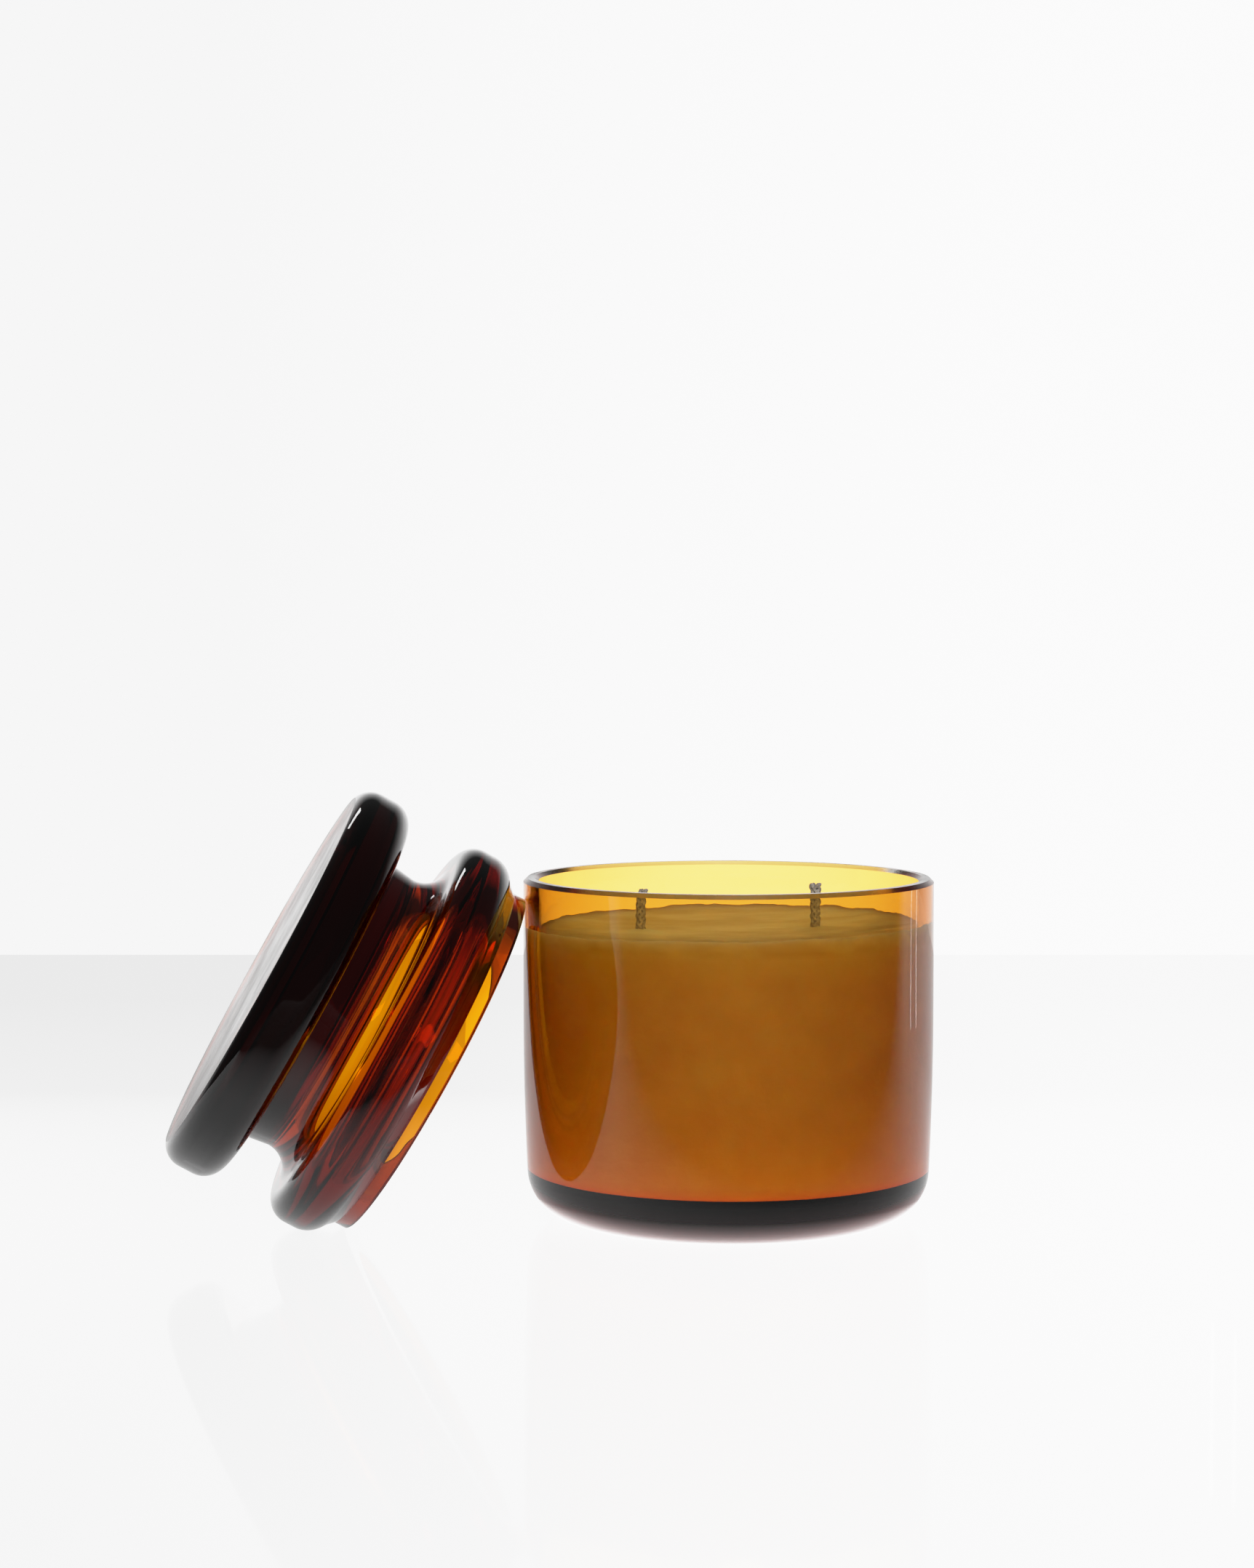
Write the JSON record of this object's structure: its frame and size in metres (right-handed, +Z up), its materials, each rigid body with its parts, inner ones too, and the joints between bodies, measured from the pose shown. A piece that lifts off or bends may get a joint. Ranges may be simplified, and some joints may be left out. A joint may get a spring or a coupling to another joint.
{
  "type": "lidded glass candle jar",
  "caption": "Squat amber glass candle jar filled with wax, its wicks unburnt, and its heavy spool-shaped amber glass lid leaning against the jar's side.",
  "frame": {"origin": "centre of the jar's flat foot, on the surface it stands on", "axes": "+Z up along the jar's axis, +X to the right with the lid leaning at -X, +Y away from the front"},
  "size_m": [0.1856, 0.1166, 0.1045],
  "materials": {
    "amber_glass": "clear amber pressed glass, fire-polished, with a ground rim and a ground lid face",
    "wax": "cream soy wax, satin, gently rippled on top",
    "wick_cotton": "braided cotton, primed with wax, unburnt",
    "tinplate": "bright pressed tinplate",
    "sticker": "white double-sided foam"
  },
  "bodies": {
    "jar": {"glass_jar": "amber_glass", "wax_fill": "wax", "wick_left": "wick_cotton", "wick_right": "wick_cotton", "wick_sustainer_left": "tinplate", "wick_sustainer_right": "tinplate", "wick_sticker_left": "sticker", "wick_sticker_right": "sticker"},
    "lid": {"glass_lid": "amber_glass"}
  },
  "joints": [
    {"name": "lid_lift", "type": "slide", "parent": "jar", "child": "lid", "axis": [0, 0, 1], "range_m": [0, 0.1]}
  ]
}
